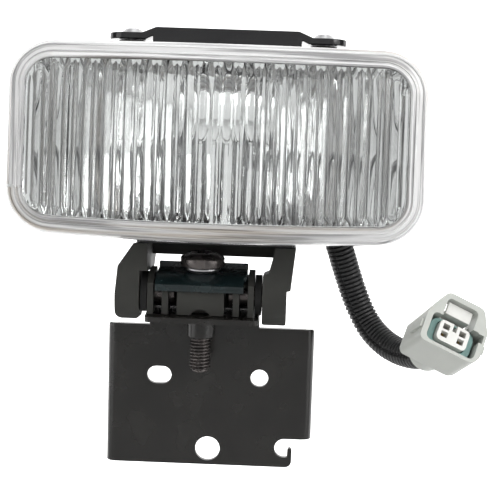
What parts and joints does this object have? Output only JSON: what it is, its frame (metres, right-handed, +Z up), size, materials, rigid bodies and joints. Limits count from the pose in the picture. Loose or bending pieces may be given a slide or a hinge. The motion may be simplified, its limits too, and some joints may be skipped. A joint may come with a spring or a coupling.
{
  "type": "fog light",
  "caption": "Rectangular fog light with a fluted clear lens, on a screw-clamped tilting bracket, with a twist-off rear cover, corrugated lead and latching connector.",
  "frame": {"origin": "rear face of the mounting plate, midway between its two upper holes", "axes": "+Z up, the lamp faces -Y, +X to the right seen from the front"},
  "size_m": [0.1752, 0.0946, 0.1676],
  "materials": {
    "black_steel": "satin black coating",
    "gloss_black_steel": "gloss black paint",
    "black_plastic": "satin moulded",
    "dark_screw": "dark plated, satin",
    "zinc_steel": "zinc plated",
    "clear_lens": "clear, fluted inside",
    "mirror": "bright mirror coating",
    "black_rubber": "matt",
    "conduit_black": "corrugated, matt",
    "grey_plastic": "fine moulded texture",
    "white_plastic": "smooth",
    "teal_rubber": "matt",
    "brass": "bright",
    "tungsten": "bare wire",
    "bulb_glass": "clear"
  },
  "bodies": {
    "mount": {"mount_plate": "black_steel", "thread_insert": "dark_screw", "pivot_block": "black_plastic", "clamp_saddle": "black_steel", "cup_washer": "zinc_steel", "pivot_washer_left": "black_rubber", "pivot_washer_right": "black_rubber"},
    "clamp_screw": {"clamp_screw": "dark_screw"},
    "lamp": {"lens": "clear_lens", "lens_seal": "black_rubber", "lamp_housing": "black_plastic", "vent_cap": "black_rubber", "reflector": "mirror", "bulb_glass": "bulb_glass", "bulb_filament": "tungsten", "bulb_base": "zinc_steel", "bulb_clip": "zinc_steel", "bulb_plug": "black_plastic", "bulb_shield": "mirror", "lead_feed": "black_rubber", "lead_earth": "black_rubber", "cable_grommet": "black_rubber", "top_strap": "gloss_black_steel", "top_screw_left": "zinc_steel", "top_screw_right": "zinc_steel", "base_plate": "gloss_black_steel", "pivot_bracket": "black_plastic", "base_screw_left": "zinc_steel", "base_screw_right": "zinc_steel", "pivot_pin_left": "dark_screw", "pivot_pin_right": "dark_screw", "conduit": "conduit_black", "connector_housing": "grey_plastic", "connector_carrier": "white_plastic", "connector_seal": "teal_rubber", "terminal_left": "brass", "terminal_right": "brass"},
    "rear_cover": {"rear_cover": "black_plastic", "cover_seal": "black_rubber"},
    "connector_latch": {"connector_latch": "white_plastic"}
  },
  "joints": [
    {"name": "lamp_tilt", "type": "hinge", "parent": "mount", "child": "lamp", "pos_m": [-0.0031, -0.014, 0.0345], "axis": [1, 0, 0], "range_deg": [-12, 20]},
    {"name": "clamp_screw_turn", "type": "hinge", "parent": "mount", "child": "clamp_screw", "pos_m": [-0.0031, -0.014, 0.045], "axis": [0, 0, 1], "continuous": true},
    {"name": "rear_cover_turn", "type": "hinge", "parent": "lamp", "child": "rear_cover", "pos_m": [0.0017, 0.03548, 0.08339], "axis": [0, 0.9898, -0.1426], "range_deg": [0, 30]},
    {"name": "connector_latch_press", "type": "hinge", "parent": "lamp", "child": "connector_latch", "pos_m": [0.08772, -0.02166, 0.02794], "axis": [0.8938, 0.0997, -0.4373], "range_deg": [0, 6], "stiffness_Nm_per_rad": 0.15}
  ]
}
